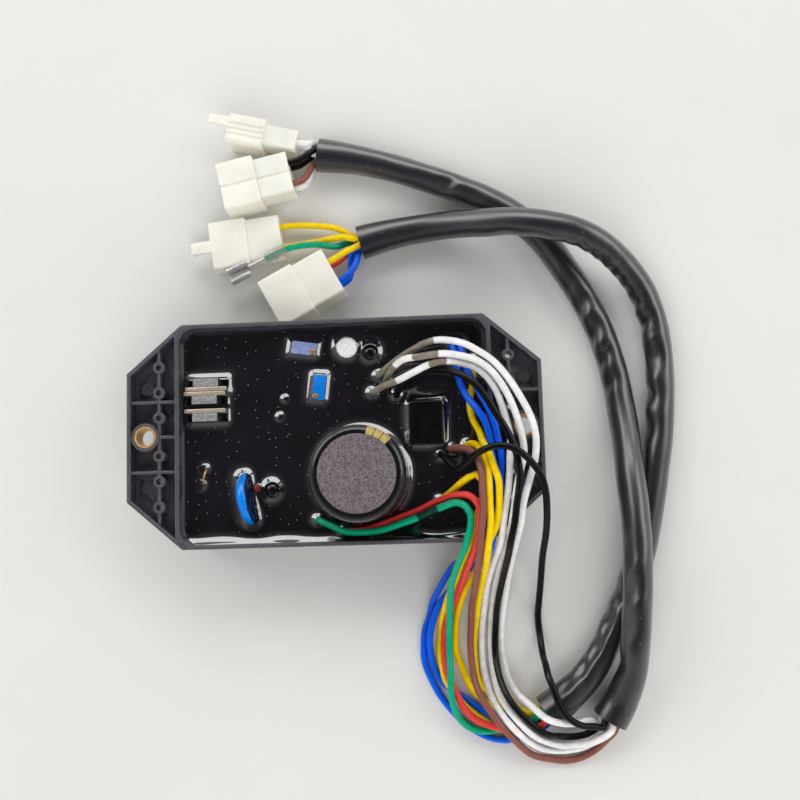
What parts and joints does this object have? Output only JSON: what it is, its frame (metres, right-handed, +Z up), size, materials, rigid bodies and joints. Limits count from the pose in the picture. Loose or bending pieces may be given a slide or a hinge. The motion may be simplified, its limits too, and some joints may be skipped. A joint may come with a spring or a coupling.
{
  "type": "automatic voltage regulator",
  "caption": "Potted generator voltage regulator in an octagonal tray with ribbed end flanges, a large capacitor, trimmers, and a sleeved wire harness ending in plug-in connectors.",
  "frame": {"origin": "middle of the tray's base, on the surface that it stands on", "axes": "+Z up out of the open tray, +X along the tray towards the end where the wires leave, +Y towards the connectors"},
  "size_m": [0.209, 0.259, 0.0453],
  "materials": {
    "tray_plastic": "satin black moulded plastic",
    "insert_brass": "turned brass",
    "board_laminate": "glass laminate",
    "potting_resin": "cast black resin, glossy",
    "can_aluminium": "drawn aluminium",
    "shrink_sleeve": "heat-shrunk black film",
    "disc_grey": "grey insulating disc",
    "tinned_metal": "tinned metal",
    "device_plastic": "moulded epoxy",
    "trimmer_blue": "blue moulded plastic",
    "screw_brass": "brass",
    "varistor_blue": "blue coated ceramic",
    "block_black": "black moulded epoxy",
    "bead_red": "coated bead",
    "wire_white": "soft insulation",
    "wire_black": "soft insulation",
    "wire_brown": "soft insulation",
    "wire_blue": "soft insulation",
    "wire_yellow": "soft insulation",
    "wire_red": "soft insulation",
    "wire_green": "soft insulation",
    "harness_sleeve": "soft charcoal sleeving",
    "nylon_ivory": "natural nylon",
    "cover_clear": "clear soft cover"
  },
  "bodies": {
    "regulator": {"housing": "tray_plastic", "insert_left": "insert_brass", "insert_right": "insert_brass", "circuit_board": "board_laminate", "potting": "potting_resin", "capacitor_can": "can_aluminium", "capacitor_sleeve": "shrink_sleeve", "capacitor_top_disc": "disc_grey", "device_tab_1": "tinned_metal", "device_tab_2": "tinned_metal", "device_tab_3": "tinned_metal", "device_body_1": "device_plastic", "device_body_2": "device_plastic", "device_body_3": "device_plastic", "trimmer_body_1": "trimmer_blue", "trimmer_body_2": "trimmer_blue", "varistor": "varistor_blue", "rectifier_block": "block_black", "small_electrolytic": "can_aluminium", "coated_capacitor_1": "block_black", "coated_capacitor_2": "block_black", "thermistor_bead": "bead_red", "jumper_lead": "tinned_metal", "component_leads": "tinned_metal", "sleeve_a": "harness_sleeve", "sleeve_b": "harness_sleeve", "connector_1": "nylon_ivory", "connector_2": "nylon_ivory", "connector_3": "nylon_ivory", "connector_4": "nylon_ivory", "contacts_1": "tinned_metal", "contacts_2": "tinned_metal", "contacts_3": "tinned_metal", "contacts_4": "tinned_metal", "spade_terminal": "tinned_metal", "terminal_cover": "cover_clear", "wire_white_1": "wire_white", "wire_white_2": "wire_white", "wire_white_3": "wire_white", "wire_black_1": "wire_black", "wire_black_2": "wire_black", "wire_brown": "wire_brown", "wire_blue_1": "wire_blue", "wire_blue_2": "wire_blue", "wire_yellow_1": "wire_yellow", "wire_yellow_2": "wire_yellow", "wire_yellow_3": "wire_yellow", "wire_red": "wire_red", "wire_green": "wire_green"},
    "adjuster_1": {"trimmer_screw_1": "screw_brass"},
    "adjuster_2": {"trimmer_screw_2": "screw_brass"}
  },
  "joints": [
    {"name": "adjuster_1_turn", "type": "hinge", "parent": "regulator", "child": "adjuster_1", "pos_m": [-0.00771, 0.03077, 0.0255], "axis": [0, 0, 1], "continuous": true},
    {"name": "adjuster_2_turn", "type": "hinge", "parent": "regulator", "child": "adjuster_2", "pos_m": [-0.00712, 0.01396, 0.0255], "axis": [0, 0, 1], "continuous": true}
  ]
}
